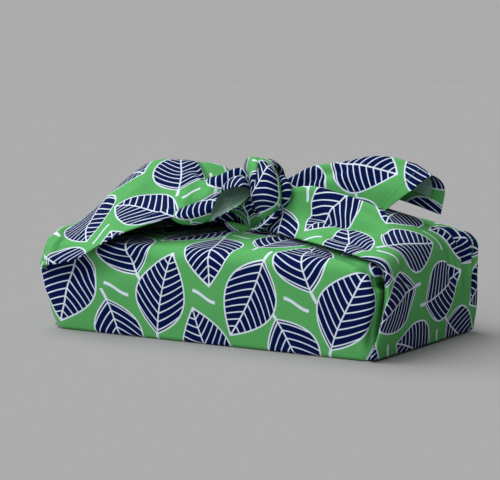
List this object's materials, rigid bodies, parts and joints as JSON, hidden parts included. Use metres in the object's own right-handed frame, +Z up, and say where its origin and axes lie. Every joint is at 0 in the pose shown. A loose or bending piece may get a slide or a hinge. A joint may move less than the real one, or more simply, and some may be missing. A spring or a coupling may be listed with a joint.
{
  "type": "furoshiki wrap",
  "caption": "Square cotton cloth folded round a flat box shape, gathered up at both ends and tied on top in a square knot with two free tails.",
  "frame": {"origin": "middle of the wrapped body's flat bottom, on the surface it rests on", "axes": "+X along the wrapped body's long side towards the end the longer tail lies over, +Y to the back, +Z up through the knot"},
  "size_m": [0.2727, 0.1539, 0.1228],
  "materials": {
    "cloth": "printed plain-weave cotton, matt"
  },
  "bodies": {
    "root": {"cloth": "cloth"}
  },
  "joints": []
}
